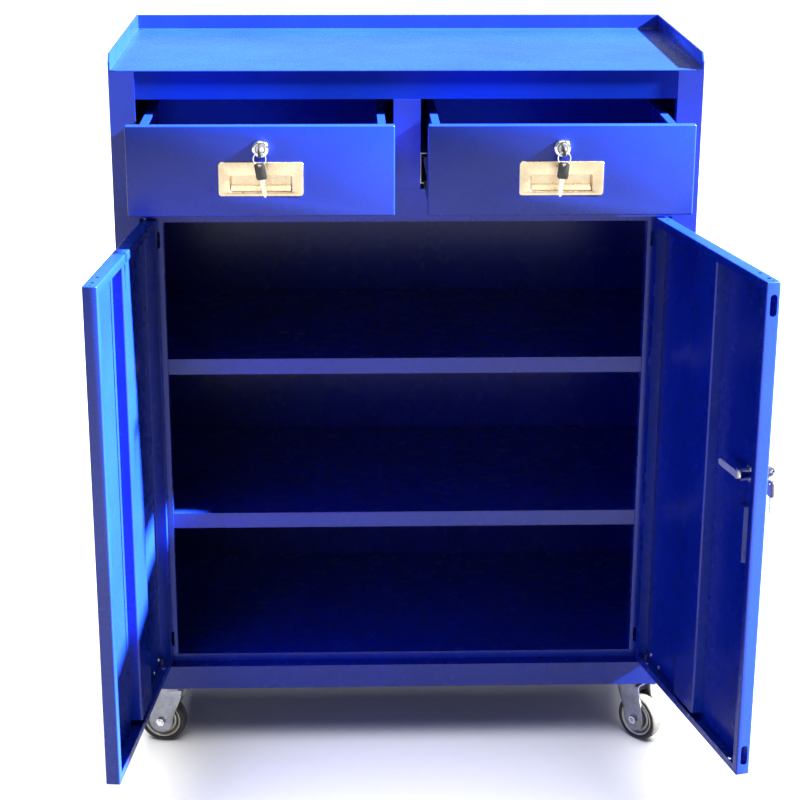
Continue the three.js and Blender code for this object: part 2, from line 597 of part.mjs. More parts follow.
for (const [word, side] of [['left', -1], ['right', 1]]) {
  addMesh(chest, `${word}_base_channel`, baseChannel(side), bluePaint);
  addMesh(chest, `${word}_outer_runner`,
    fixedSlide(side * (POST_INNER - GAP), -side, side * (INNER_HALF)), zinc);
  addMesh(chest, `${word}_inner_runner`, fixedSlide(side * (POST_HALF + GAP), side), zinc);
  addMesh(chest, `${word}_top_pivot`, topPivot(side), zinc);
  addMesh(chest, `${word}_bottom_pivot`, bottomPivot(side), zinc);

  const drawer = new THREE.Group();
  drawer.position.set(side * DRAWER_X, FRONT - DRAWER_OUT, 0);
  chest.add(drawer);
  addMesh(drawer, `${word}_drawer_front`, drawerFront(), bluePaint);
  addMesh(drawer, `${word}_drawer_box`, drawerBox(), bluePaint);
  addMesh(drawer, `${word}_drawer_outer_slide`, movingSlide(side), zinc);
  addMesh(drawer, `${word}_drawer_inner_slide`, movingSlide(-side), zinc);
  addMesh(drawer, `${word}_drawer_pull`, flushPull(), nickel).position.z = PULL_Z;
  const lean = side < 0 ? 0.16 : -0.1;
  addLock(drawer, `${word}_drawer`, [0, 0, LOCK_Z], DRAWER_CAM, -lean);

  const door = new THREE.Group();
  const hasLock = side > 0;
  door.position.set(pivotX(side), PIVOT_Y, 0);
  door.rotation.z = side * THREE.MathUtils.degToRad(side < 0 ? LEFT_OPEN : RIGHT_OPEN);
  chest.add(door);
  addMesh(door, `${word}_door`, doorPanel(side, hasLock), bluePaint);
  const pull = addMesh(door, `${word}_door_pull`, flushPull(), nickel);
  pull.position.set(side * (PIVOT_IN - DOOR_PULL_ALONG), -PIVOT_BACK, DOOR_PULL_Z);
  pull.rotation.y = side * Math.PI / 2;
  if (hasLock) {
    const lockX = side * (PIVOT_IN - DOOR_LOCK_ALONG);
    addLock(door, `${word}_door`, [lockX, -PIVOT_BACK, DOOR_LOCK_Z], DOOR_CAM, 0.05);
  }
}

// Casters: name, side, place along y, and the direction in which each wheel trails, in degrees from +x.
const CASTERS = [
  ['front_left', -1, FRONT_CASTER_Y, 168],
  ['front_right', 1, FRONT_CASTER_Y, 312],
  ['rear_left', -1, REAR_CASTER_Y, 100],
  ['rear_right', 1, REAR_CASTER_Y, 65],
];
for (const [name, side, y, trailTo] of CASTERS) {
  const caster = new THREE.Group();
  caster.position.set(side * CASTER_X, y, 0);
  chest.add(caster);
  addMesh(caster, `${name}_caster_plate`, casterPlate(), zinc);
  const swivel = new THREE.Group();
  swivel.rotation.z = THREE.MathUtils.degToRad(trailTo - 180);
  caster.add(swivel);
  addMesh(swivel, `${name}_fork`, casterFork(), zinc);
  addMesh(swivel, `${name}_wheel`, casterWheel(), tyreRubber).position.set(-TRAIL, 0, WHEEL_RADIUS);
}

// Origin at the middle of the footprint, on the floor.
chest.updateMatrixWorld(true);
const bounds = new THREE.Box3().setFromObject(chest);
const middle = bounds.getCenter(new THREE.Vector3());
chest.position.set(-middle.x, -middle.y, -bounds.min.z);

export default chest;
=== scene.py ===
"""Rolling tool chest in blue powder-coated sheet steel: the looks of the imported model."""
import json
import math

import bmesh
import bpy
from mathutils import Matrix, Vector


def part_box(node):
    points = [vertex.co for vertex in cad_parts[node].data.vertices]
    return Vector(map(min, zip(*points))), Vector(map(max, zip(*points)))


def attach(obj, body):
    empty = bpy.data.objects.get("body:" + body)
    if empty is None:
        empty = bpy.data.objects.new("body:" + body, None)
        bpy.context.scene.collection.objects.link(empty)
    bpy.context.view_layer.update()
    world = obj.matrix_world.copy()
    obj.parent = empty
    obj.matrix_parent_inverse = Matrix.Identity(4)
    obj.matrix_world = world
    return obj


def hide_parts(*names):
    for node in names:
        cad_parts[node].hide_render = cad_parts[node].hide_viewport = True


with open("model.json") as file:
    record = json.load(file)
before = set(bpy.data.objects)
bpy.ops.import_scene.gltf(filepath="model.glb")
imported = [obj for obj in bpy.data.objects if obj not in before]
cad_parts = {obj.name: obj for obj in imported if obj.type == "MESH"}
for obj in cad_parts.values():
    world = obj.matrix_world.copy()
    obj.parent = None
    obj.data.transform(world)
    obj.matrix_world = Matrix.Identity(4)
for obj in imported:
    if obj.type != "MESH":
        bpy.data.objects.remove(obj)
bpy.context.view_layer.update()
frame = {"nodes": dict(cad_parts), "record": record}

MM = 0.001
SHEET = 1.2 * MM
RECORD = frame["record"]
JOINTS = {joint["name"]: joint for joint in RECORD["behaviour"]["joints"]}
SIDES = (("left", -1), ("right", 1))
CASTERS = ("front_left", "front_right", "rear_left", "rear_right")
WELD_DISTANCE = 1e-6
SHARP_FROM = 34.0               # degrees


# ---------------------------------------------------------------- places taken from the frame
def shift(x=0.0, y=0.0, z=0.0):
    return Matrix.Translation((x, y, z))


def turn(angle, axis):
    return Matrix.Rotation(angle, 4, axis)


def door_place(side_name, side):
    """The door's own frame: its pivot at the origin, as if closed."""
    joint = JOINTS[f"{side_name}_door_hinge"]
    opened = -math.radians(joint["range_deg"][0])
    return shift(*joint["pos_m"][:2]) @ turn(side * opened, "Z")


def lock_place(name):
    """A lock's own frame: its axis along y, outwards along -y, and the face it stands on at y = 0."""
    joint = JOINTS[f"{name}_key_turn"]
    outward = Vector(joint["axis"])
    angle = math.atan2(outward.x, -outward.y)
    return Matrix.Translation(joint["pos_m"]) @ turn(angle, "Z")


def caster_place(name):
    """A caster's own frame: its swivel axis at the origin and its wheel trailing towards -x."""
    swivel = JOINTS[f"{name}_swivel"]["pos_m"]
    axle = JOINTS[f"{name}_wheel_spin"]["pos_m"]
    angle = math.atan2(axle[1] - swivel[1], axle[0] - swivel[0]) - math.pi
    return shift(swivel[0], swivel[1]) @ turn(angle, "Z")


# ---------------------------------------------------------------- materials
def node_material(name):
    material = bpy.data.materials.new(name)
    material.use_nodes = True
    tree = material.node_tree
    shader = tree.nodes["Principled BSDF"]
    return material, tree, shader


def link(tree, source, target):
    tree.links.new(source, target)


def noise(tree, scale, detail=3.0, roughness=0.55, distortion=0.0):
    where = tree.nodes.new("ShaderNodeTexCoord")
    texture = tree.nodes.new("ShaderNodeTexNoise")
    texture.inputs["Scale"].default_value = scale
    texture.inputs["Detail"].default_value = detail
    texture.inputs["Roughness"].default_value = roughness
    texture.inputs["Distortion"].default_value = distortion
    link(tree, where.outputs["Object"], texture.inputs["Vector"])
    return texture.outputs["Fac"]


def ramp(tree, source, stops):
    """A colour ramp over source; each stop is (position, colour)."""
    node = tree.nodes.new("ShaderNodeValToRGB")
    elements = node.color_ramp.elements
    while len(elements) < len(stops):
        elements.new(0.5)
    for element, (position, colour) in zip(elements, stops):
        element.position = position
        element.color = (*colour, 1.0)
    link(tree, source, node.inputs["Fac"])
    return node.outputs["Color"]


def spread(tree, source, low, high, start=0.3, end=0.7):
    """Maps source from start..end to low..high."""
    node = tree.nodes.new("ShaderNodeMapRange")
    node.inputs["From Min"].default_value = start
    node.inputs["From Max"].default_value = end
    node.inputs["To Min"].default_value = low
    node.inputs["To Max"].default_value = high
    link(tree, source, node.inputs["Value"])
    return node.outputs["Result"]


def bump(tree, shader, layers):
    """Stacks bumps from the coarsest to the finest; each layer is (height, strength, distance)."""
    normal = None
    for height, strength, distance in layers:
        node = tree.nodes.new("ShaderNodeBump")
        node.inputs["Strength"].default_value = strength
        node.inputs["Distance"].default_value = distance
        link(tree, height, node.inputs["Height"])
        if normal is not None:
            link(tree, normal, node.inputs["Normal"])
        normal = node.outputs["Normal"]
    link(tree, normal, shader.inputs["Normal"])


def mix_colours(tree, mask, first, second):
    node = tree.nodes.new("ShaderNodeMix")
    node.data_type = "RGBA"
    link(tree, mask, node.inputs["Factor"])
    link(tree, first, node.inputs["A"])
    link(tree, second, node.inputs["B"])
    return node.outputs["Result"]


def powder_coat(name, dark, light, gloss):
    """Blue powder coat: orange peel, slight waves in the sheet, and a thin film of dust and rubs."""
    material, tree, shader = node_material(name)
    shade = ramp(tree, noise(tree, 6.0, 5.0), [(0.3, dark), (0.7, light)])
    dust = ramp(tree, noise(tree, 55.0, 6.0, 0.7), [(0.64, (0, 0, 0)), (0.85, (0.03, 0.03, 0.03))])
    dusty = ramp(tree, noise(tree, 140.0, 4.0), [(0.3, (0.05, 0.08, 0.42)), (0.7, (0.08, 0.11, 0.45))])
    link(tree, mix_colours(tree, dust, shade, dusty), shader.inputs["Base Color"])
    link(tree, spread(tree, noise(tree, 22.0, 6.0, 0.65), 0.25, 0.29), shader.inputs["Roughness"])
    shader.inputs["Specular IOR Level"].default_value = gloss
    bump(tree, shader, [
        (noise(tree, 3.2, 2.0), 0.12, 0.0022),
        (noise(tree, 620.0, 2.0, 0.5), 0.08, 0.0004),
    ])
    return material


def plated(name, dark, light, roughness, scratch=0.10, metallic=1.0):
    """Plated or polished steel with fine scratches and patches of duller film."""
    material, tree, shader = node_material(name)
    link(tree, ramp(tree, noise(tree, 45.0, 5.0), [(0.3, dark), (0.7, light)]), shader.inputs["Base Color"])
    link(tree, spread(tree, noise(tree, 160.0, 6.0, 0.7), roughness * 0.75, roughness * 1.35),
         shader.inputs["Roughness"])
    shader.inputs["Metallic"].default_value = metallic
    bump(tree, shader, [(noise(tree, 900.0, 3.0, 0.7, 0.4), scratch, 0.0003)])
    return material


def plastic(name, dark, light, roughness, grain=700.0):
    material, tree, shader = node_material(name)
    link(tree, ramp(tree, noise(tree, 90.0, 5.0), [(0.3, dark), (0.7, light)]), shader.inputs["Base Color"])
    link(tree, spread(tree, noise(tree, 120.0, 5.0), roughness * 0.85, roughness * 1.15),
         shader.inputs["Roughness"])
    bump(tree, shader, [(noise(tree, grain, 3.0), 0.25, 0.0004)])
    return material


def rubber(name):
    """Tyre rubber, greyed with dust in patches."""
    material, tree, shader = node_material(name)
    dust = noise(tree, 60.0, 6.0, 0.7)
    link(tree, ramp(tree, dust, [(0.35, (0.008, 0.008, 0.008)), (0.75, (0.05, 0.046, 0.042))]),
         shader.inputs["Base Color"])
    link(tree, spread(tree, dust, 0.5, 0.8), shader.inputs["Roughness"])
    bump(tree, shader, [(noise(tree, 500.0, 4.0), 0.3, 0.0004)])
    return material


BLUE_DARK = (0.0028, 0.017, 0.25)
BLUE_LIGHT = (0.0038, 0.023, 0.3)
BLUE = powder_coat("blue_powder_coat", BLUE_DARK, BLUE_LIGHT, 0.4)
FLAT_BLUE = powder_coat("flat_blue_powder_coat", BLUE_DARK, BLUE_LIGHT, 0.06)
ZINC = plated("zinc_plate", (0.45, 0.46, 0.47), (0.66, 0.67, 0.68), 0.32)
CAM_ZINC = plated("bright_zinc_cam", (0.78, 0.79, 0.8), (0.88, 0.88, 0.89), 0.35, metallic=0.4)
NICKEL = plated("satin_nickel", (0.6, 0.48, 0.31), (0.72, 0.59, 0.4), 0.3)
CHROME = plated("polished_chrome", (0.74, 0.74, 0.75), (0.84, 0.84, 0.85), 0.12, 0.04)
BRASS = plated("nickel_brass", (0.62, 0.58, 0.48), (0.76, 0.72, 0.62), 0.26)
BLACK = plastic("black_key_plastic", (0.010, 0.010, 0.010), (0.022, 0.022, 0.022), 0.38)
FORK_ZINC = plated("caster_zinc_plate", (0.2, 0.21, 0.24), (0.34, 0.35, 0.39), 0.3)
HUB = plastic("grey_hub_plastic", (0.1, 0.09, 0.085), (0.17, 0.155, 0.145), 0.5)
PALE_HUB = plastic("pale_hub_plastic", (0.5, 0.47, 0.43), (0.66, 0.62, 0.57), 0.45)
RED = plastic("red_dust_ring", (0.46, 0.045, 0.016), (0.6, 0.075, 0.025), 0.45)
# Near-black bolt metal: painted shade, the dark of the shadow under the mounting plate put into the bolts'
# colour.
BOLT_PAINTED_SHADE = plated("bolt_painted_shade", (0.09, 0.09, 0.09), (0.16, 0.16, 0.16), 0.42)
TYRE = rubber("tyre_rubber")


# ---------------------------------------------------------------- mesh building
def new_object(name, build, place=Matrix.Identity(4), weld=True):
    """An object in the scene whose mesh is filled in by a function and then put in place."""
    mesh = bpy.data.meshes.new(name)
    shape = bmesh.new()
    build(shape)
    if weld:
        bmesh.ops.remove_doubles(shape, verts=shape.verts, dist=WELD_DISTANCE)
        bmesh.ops.recalc_face_normals(shape, faces=shape.faces)
    shape.transform(place)
    shape.to_mesh(mesh)
    shape.free()
    made = bpy.data.objects.new(name, mesh)
    bpy.context.scene.collection.objects.link(made)
    return made


def make(name, build, body, material, place=Matrix.Identity(4), smooth=SHARP_FROM):
    """A piece from a function that fills a bmesh, put in place and riding on a body."""
    piece = new_object(name, build, place)
    finish_piece(piece, body, material, smooth)
    return piece


def shade(piece, sharp_from=SHARP_FROM):
    """Smooth shading, but for edges sharper than the angle in degrees."""
    piece.data.shade_smooth()
    piece.data.set_sharp_from_angle(angle=math.radians(sharp_from))


def finish_piece(piece, body, material, smooth=SHARP_FROM):
    piece.data.materials.clear()
    piece.data.materials.append(material)
    shade(piece, smooth)
    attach(piece, body)


def apply_modifiers(piece):
    """Puts the result of the piece's modifiers into its mesh."""
    graph = bpy.context.evaluated_depsgraph_get()
    graph.update()
    mesh = bpy.data.meshes.new_from_object(piece.evaluated_get(graph))
    piece.modifiers.clear()
    piece.data = mesh


def round_edges(piece, width, segments=2, angle=40.0):
    modifier = piece.modifiers.new("rounded_edges", "BEVEL")
    modifier.width = width
    modifier.segments = segments
    modifier.limit_method = "ANGLE"
    modifier.angle_limit = math.radians(angle)
    modifier.harden_normals = False


def fillet(path, radii, steps=5):
    """Points along a path whose corners are rounded with the given radii."""
    points = [Vector(path[0])]
    for before, corner, after, radius in zip(path, path[1:], path[2:], radii):
        corner = Vector(corner)
        back = (Vector(before) - corner).normalized()
        ahead = (Vector(after) - corner).normalized()
        half = back.angle(ahead) / 2
        reach = radius / math.tan(half)
        centre = corner + (back + ahead).normalized() * (radius / math.sin(half))
        first = corner + back * reach - centre
        last = corner + ahead * reach - centre
        whole = first.angle_signed(last)
        for step in range(steps + 1):
            spoke = first.copy()
            spoke.rotate(Matrix.Rotation(-whole * step / steps, 2))
            points.append(centre + spoke)
    points.append(Vector(path[-1]))
    return points


def folded_outline(path, thickness=SHEET, radius=1.0 * MM):
    """Closed outline of a folded sheet whose one face is path and whose thickness is to its left."""
    radii = []
    for before, corner, after in zip(path, path[1:], path[2:]):
        first = Vector(corner) - Vector(before)
        second = Vector(after) - Vector(corner)
        left_turn = first.x * second.y - first.y * second.x > 0
        radii.append(radius if left_turn else radius + thickness)
    face = fillet(path, radii)
    other = []
    for i, point in enumerate(face):
        run = face[min(i + 1, len(face) - 1)] - face[max(i - 1, 0)]
        run.normalize()
        other.append(point + Vector((-run.y, run.x)) * thickness)
    return face + other[::-1]


def extrude(shape, outline, low, high, to_space):
    """Closed prism of a flat outline; to_space turns (u, v, length) into a place."""
    rings = [[shape.verts.new(to_space(p[0], p[1], at)) for p in outline] for at in (low, high)]
    count = len(outline)
    for i in range(count):
        j = (i + 1) % count
        shape.faces.new((rings[0][i], rings[0][j], rings[1][j], rings[1][i]))
    shape.faces.new(rings[0][::-1])
    shape.faces.new(rings[1])


def lathe(shape, profile, segments=64, to_space=lambda r, along, c, s: (r * c, along, r * s)):
    """Turned solid; each point of the closed profile is (radius, place along the axis)."""
    rings = []
    for step in range(segments):
        c = math.cos(2 * math.pi * step / segments)
        s = math.sin(2 * math.pi * step / segments)
        rings.append([shape.verts.new(to_space(r, along, c, s)) for r, along in profile])
    count = len(profile)
    for step in range(segments):
        here, there = rings[step], rings[(step + 1) % segments]
        for i in range(count):
            j = (i + 1) % count
            shape.faces.new((here[i], here[j], there[j], there[i]))


def about_z(r, along, c, s):
    return (r * c, r * s, along)


def about_y_at(x, z):
    """Places a turned solid about a line along y through (x, z)."""
    return lambda r, along, c, s: (x + r * c, along, z + r * s)


def rounded_rectangle(width, height, radius, centre=(0.0, 0.0), steps=5):
    points = []
    for corner in range(4):
        start = corner * math.pi / 2
        cx = centre[0] + (width / 2 - radius) * (1 if corner in (0, 3) else -1)
        cz = centre[1] + (height / 2 - radius) * (1 if corner in (0, 1) else -1)
        for step in range(steps + 1):
            angle = start + math.pi / 2 * step / steps
            points.append((cx + radius * math.cos(angle), cz + radius * math.sin(angle)))
    return points


def loft(shape, rings):
    """Closed skin over rings of equal count, each a list of places, with flat ends."""
    made = [[shape.verts.new(p) for p in ring] for ring in rings]
    count = len(rings[0])
    for below, above in zip(made, made[1:]):
        for i in range(count):
            j = (i + 1) % count
            shape.faces.new((below[i], below[j], above[j], above[i]))
    shape.faces.new(made[0][::-1])
    shape.faces.new(made[-1])


def block(shape, x, y, z):
    corners = [(x[i], y[j], z[k]) for k in (0, 1) for j in (0, 1) for i in (0, 1)]
    verts = [shape.verts.new(c) for c in corners]
    for quad in ((0, 1, 3, 2), (4, 6, 7, 5), (0, 4, 5, 1), (2, 3, 7, 6), (0, 2, 6, 4), (1, 5, 7, 3)):
        shape.faces.new([verts[i] for i in quad])


def cut(piece, build, place=Matrix.Identity(4)):
    """Takes the solids made by build out of the piece."""
    cutter = new_object("cutter", build, place)
    modifier = piece.modifiers.new("holes", "BOOLEAN")
    modifier.operation = "DIFFERENCE"
    modifier.solver = "EXACT"
    modifier.object = cutter
    apply_modifiers(piece)
    bpy.data.objects.remove(cutter)


# ---------------------------------------------------------------- pressed pans: doors and drawer fronts
BEND = 1.8 * MM


def pan(name, x, z, face_y, depth, lip, place=Matrix.Identity(4)):
    """A sheet pan open to +y: skin, four flanges and narrow return lips, with rounded bends."""
    def build(shape):
        sizes = ((0.0, face_y), (0.0, face_y + depth), (lip, face_y + depth))
        rings = []
        for inset, y in sizes:
            corners = ((x[0] + inset, z[0] + inset), (x[1] - inset, z[0] + inset),
                       (x[1] - inset, z[1] - inset), (x[0] + inset, z[1] - inset))
            rings.append([shape.verts.new((cx, y, cz)) for cx, cz in corners])
        shape.faces.new(rings[0])
        for below, above in zip(rings, rings[1:]):
            for i in range(4):
                j = (i + 1) % 4
                shape.faces.new((below[j], below[i], above[i], above[j]))
    piece = new_object(name, build, place, weld=False)
    round_edges(piece, BEND, 4, 30.0)
    thick = piece.modifiers.new("sheet", "SOLIDIFY")
    thick.thickness = SHEET
    thick.offset = -1.0
    apply_modifiers(piece)
    return piece


PULL_PLATE = (115 * MM, 47 * MM)
RECESS = (84 * MM, 22 * MM)
RECESS_DROP = 6.25 * MM
RECESS_ROOM = 1.5 * MM          # between the recess and the hole it is set in
RECESS_END = 9.9 * MM           # beyond the recess's own inner floor
SHEET_BACK = 1.6 * MM           # just behind the sheet that the pull is set in


def build_pull(shape):
    """Flush pull: a plate with soft edges and a finger recess whose lower wall slopes."""
    def ring(width, height, radius, y, lift=-RECESS_DROP):
        return [(px, y * MM, pz) for px, pz in rounded_rectangle(width, height, radius, (0.0, lift))]
    pw, ph = PULL_PLATE
    rw, rh = RECESS
    loft(shape, [
        ring(rw - 1 * MM, rh - 6 * MM, 2.2 * MM, 10.3, -RECESS_DROP + 2.5 * MM),
        ring(rw + 1.2 * MM, rh + 1.0 * MM, 2.6 * MM, 1.5),
        ring(rw + 1.6 * MM, rh + 1.6 * MM, 2.8 * MM, -0.3),
        ring(pw, ph, 4.0 * MM, -0.3, 0.0),
        ring(pw, ph, 4.0 * MM, -1.1, 0.0),
        ring(pw - 0.5 * MM, ph - 0.5 * MM, 3.8 * MM, -1.7, 0.0),
        ring(pw - 1.6 * MM, ph - 1.6 * MM, 3.3 * MM, -2.1, 0.0),
        ring(pw - 5.0 * MM, ph - 5.0 * MM, 2.4 * MM, -2.1, 0.0),
        ring(rw + 2.0 * MM, rh + 2.0 * MM, 2.6 * MM, -2.1),
        ring(rw + 0.9 * MM, rh + 0.9 * MM, 2.3 * MM, -1.85),
        ring(rw, rh, 2.0 * MM, -1.1),
        ring(rw - 1.0 * MM, rh - 1.0 * MM, 1.8 * MM, 3.0, -RECESS_DROP),
        ring(rw - 2.2 * MM, rh - 8.0 * MM, 1.6 * MM, 8.4, -RECESS_DROP + 3.3 * MM),
        ring(rw - 3.6 * MM, rh - 9.6 * MM, 1.2 * MM, 9.1, -RECESS_DROP + 3.3 * MM),
    ])


def paint_recess_back(pull, place):
    """Behind the sheet the recess is painted like the sheet."""
    pull.data.materials.append(BLUE)
    to_pull = place.inverted() @ pull.matrix_world
    for face in pull.data.polygons:
        centre = to_pull @ face.center
        normal = to_pull.to_3x3() @ face.normal
        outwards = normal.x * centre.x + normal.z * (centre.z + RECESS_DROP) > 0
        if centre.y > RECESS_END or (centre.y > SHEET_BACK and outwards):
            face.material_index = 1


def pull_hole(shape):
    half_x = RECESS[0] / 2 + RECESS_ROOM
    half_z = RECESS[1] / 2 + RECESS_ROOM
    block(shape, (-half_x, half_x), (-3 * MM, 5 * MM), (-RECESS_DROP - half_z, -RECESS_DROP + half_z))


def round_hole(radius, reach=4 * MM, to_space=None):
    """Cutter for a round hole along y."""
    def build(shape):
        rings = [[(radius * math.cos(a), y, radius * math.sin(a))
                  for a in (2 * math.pi * i / 32 for i in range(32))] for y in (-reach, reach)]
        if to_space is not None:
            rings = [[to_space(*p) for p in ring] for ring in rings]
        loft(shape, rings)
    return build


def along_z(x, y, z):
    return (x, z, y)


def along_x(x, y, z):
    return (y, x, z)


LOCK_HOLE = 9.7 * MM
DRAWER_LIP = 8 * MM


def drawer(side_name):
    """A drawer's front pan and flush pull."""
    body = f"{side_name}_drawer"
    low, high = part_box(f"{side_name}_drawer_front")
    front = pan(f"{side_name}_drawer_front_pan", (low[0], high[0]), (low[2], high[2]), low[1],
                high[1] - low[1], DRAWER_LIP)
    lock_at = lock_place(body)
    pull_low, pull_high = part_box(f"{side_name}_drawer_pull")
    pull_at = shift((pull_low[0] + pull_high[0]) / 2, low[1], (pull_low[2] + pull_high[2]) / 2)
    cut(front, pull_hole, pull_at)
    cut(front, round_hole(LOCK_HOLE), lock_at)
    finish_piece(front, body, BLUE)
    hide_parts(f"{side_name}_drawer_front")
    pull = make(f"{side_name}_drawer_flush_pull", build_pull, body, NICKEL, pull_at)
    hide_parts(f"{side_name}_drawer_pull")


# ---------------------------------------------------------------- doors
PIVOT_IN = 6 * MM
PIVOT_BACK = 4 * MM
DOOR_WIDTH = 385 * MM
DOOR_DEPTH = 20 * MM
DOOR_LIP = 12 * MM
STIFFENER = (150 * MM, 220 * MM)
STIFFENER_FOOT = 13 * MM
STIFFENER_RISE = 15.5 * MM
WELDS_PER_FOOT = 9
DOOR_PULL_ALONG = 327 * MM
FLANGE_HOLES_IN = 9 * MM        # from the door's face
FLANGE_HOLES = ((22, 2.9), (338, 3.1), (366, 3.1), (379, 1.8))     # (along the door, radius), mm
PIVOT_HOLE = 2.8                # radius, mm
HINGE_SCREWS = ((21 * MM, 15 * MM), (53 * MM, 8 * MM))     # (along the door, from its end)


def door(side_name, side, has_lock):
    """A door's pan, stiffener, flush pull and hinge screws; returns the pan and the pull."""
    body = f"{side_name}_door"
    place = door_place(side_name, side)
    low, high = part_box(body)
    z = (low[2], high[2])

    def at(along):
        """Place across the door, given the distance from its hinge edge."""
        return side * (PIVOT_IN - along)

    x = sorted((at(0), at(DOOR_WIDTH)))
    panel = pan(f"{side_name}_door_pan", x, z, -PIVOT_BACK, DOOR_DEPTH, DOOR_LIP, place)
    pull_z = sum(p[2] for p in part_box(f"{side_name}_door_pull")) / 2
    pull_at = place @ shift(at(DOOR_PULL_ALONG), -PIVOT_BACK, pull_z) @ turn(side * math.pi / 2, "Y")
    cut(panel, pull_hole, pull_at)
    centre_y = -PIVOT_BACK + FLANGE_HOLES_IN
    for end in z:
        cut(panel, round_hole(PIVOT_HOLE * MM, 3 * MM, along_z), place @ shift(0.0, 0.0, end))
        for along, radius in FLANGE_HOLES:
            cut(panel, round_hole(radius * MM, 3 * MM, along_z), place @ shift(at(along * MM), centre_y, end))
    if has_lock:
        cut(panel, round_hole(LOCK_HOLE), lock_place(body))
        for slot_z in (z[0] + 30 * MM, z[1] - 32 * MM):
            def slot_cutter(shape):
                outline = rounded_rectangle(10 * MM, 30 * MM, 4.9 * MM)
                loft(shape, [[(reach, px, pz) for px, pz in outline] for reach in (-3 * MM, 3 * MM)])
            cut(panel, slot_cutter, place @ shift(at(DOOR_WIDTH), centre_y, slot_z))
    finish_piece(panel, body, BLUE)
    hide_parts(body)

    inner = -PIVOT_BACK + SHEET
    near, far = STIFFENER
    rise = inner + STIFFENER_RISE
    path = [(at(near - STIFFENER_FOOT), inner), (at(near), inner), (at(near), rise),
            (at(far), rise), (at(far), inner), (at(far + STIFFENER_FOOT), inner)]
    if side > 0:
        path.reverse()

    def build_stiffener(shape):
        outline = folded_outline(path, 1.0 * MM)
        extrude(shape, outline, z[0] + 15 * MM, z[1] - 13 * MM, lambda u, v, w: (u, v, w))
        weld = [(0.2 * MM, inner + 0.9 * MM), (3.2 * MM, inner + 0.9 * MM),
                (2.6 * MM, inner + 1.25 * MM), (0.2 * MM, inner + 1.15 * MM)]
        for foot in (near - STIFFENER_FOOT / 2, far + STIFFENER_FOOT / 2):
            for step in range(WELDS_PER_FOOT):
                weld_z = z[0] + 45 * MM + step * (z[1] - z[0] - 110 * MM) / (WELDS_PER_FOOT - 1)
                lathe(shape, weld, 16, about_y_at(at(foot), weld_z))
    make(f"{side_name}_door_stiffener", build_stiffener, body, BLUE, place)
    pull = make(f"{side_name}_door_flush_pull", build_pull, body, NICKEL, pull_at)
    paint_recess_back(pull, pull_at)
    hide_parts(f"{side_name}_door_pull")

    def build_screws(shape):
        screw = [(0.3 * MM, inner), (3.6 * MM, inner), (3.4 * MM, inner + 1.4 * MM),
                 (2.2 * MM, inner + 2.3 * MM), (1.0 * MM, inner + 2.0 * MM), (0.3 * MM, inner + 1.4 * MM)]
        for along, from_end in HINGE_SCREWS:
            for screw_z in (z[0] + from_end, z[1] - from_end):
                lathe(shape, screw, 20, about_y_at(at(along), screw_z))
    make(f"{side_name}_door_hinge_screws", build_screws, body, ZINC, place)
    return [panel, pull]


# ---------------------------------------------------------------- locks and keys
KEY_BOW_Y = -10 * MM
RING_Y = KEY_BOW_Y - 19 * MM
RING_RADIUS = 8.5 * MM
LEAN = {"left_drawer": -0.16, "right_drawer": 0.10, "right_door": 0.05}     # of the spare keys, radians


def build_lock_body(shape):
    profile = [(6.1, -6.6), (6.5, -7.2), (7.4, -7.5), (8.6, -7.4), (9.8, -6.9), (10.9, -6.0), (11.7, -4.7),
               (12.2, -3.2), (12.5, -1.6), (12.5, -0.3), (9.4, -0.3), (9.4, 20.9), (6.1, 20.9)]
    lathe(shape, [(r * MM, y * MM) for r, y in profile], 72)


def build_lock_nut(shape):
    """Hexagon nut that clamps the lock from behind."""
    outline = [(13 * MM * math.cos(math.pi / 3 * i), 13 * MM * math.sin(math.pi / 3 * i)) for i in range(6)]
    rings = []
    for y, scale in ((1.6, 0.93), (2.2, 1.0), (4.4, 1.0), (5.0, 0.93)):
        rings.append([(u * scale, y * MM, v * scale) for u, v in outline])
    bore = [(9.45 * MM * math.cos(math.pi / 3 * i), 9.45 * MM * math.sin(math.pi / 3 * i)) for i in range(6)]
    rings.append([(u, 5.0 * MM, v) for u, v in bore])
    rings.append([(u, 1.6 * MM, v) for u, v in bore])
    made = [[shape.verts.new(p) for p in ring] for ring in rings]
    for a, ring in enumerate(made):
        after = made[(a + 1) % len(made)]
        for i in range(6):
            j = (i + 1) % 6
            shape.faces.new((ring[i], ring[j], after[j], after[i]))


def prism_x(shape, outline, half, soft):
    """Prism across x with soft edges; the outline's points are (y, z) about a centre."""
    centre_y = sum(p[0] for p in outline) / len(outline)
    centre_z = sum(p[1] for p in outline) / len(outline)

    def scaled(factor, x):
        return [(x, centre_y + (y - centre_y) * factor, centre_z + (z - centre_z) * factor)
                for y, z in outline]
    loft(shape, [scaled(0.9, -half), scaled(0.97, -half + soft * 0.3), scaled(1.0, -half + soft),
                 scaled(1.0, half - soft), scaled(0.97, half - soft * 0.3), scaled(0.9, half)])


def build_key_bow(shape):
    outline = []
    for centre, start in ((-5 * MM, -90), (-16 * MM, 90)):
        for step in range(13):
            angle = math.radians(start + 15 * step)
            outline.append((KEY_BOW_Y + centre + 7.4 * MM * math.cos(angle), 7.4 * MM * math.sin(angle)))
    prism_x(shape, outline, 2.2 * MM, 0.9 * MM)


def build_key_blade(shape):
    block(shape, (-0.8 * MM, 0.8 * MM), (KEY_BOW_Y + 0.5 * MM, 13.5 * MM), (-3.2 * MM, 3.2 * MM))


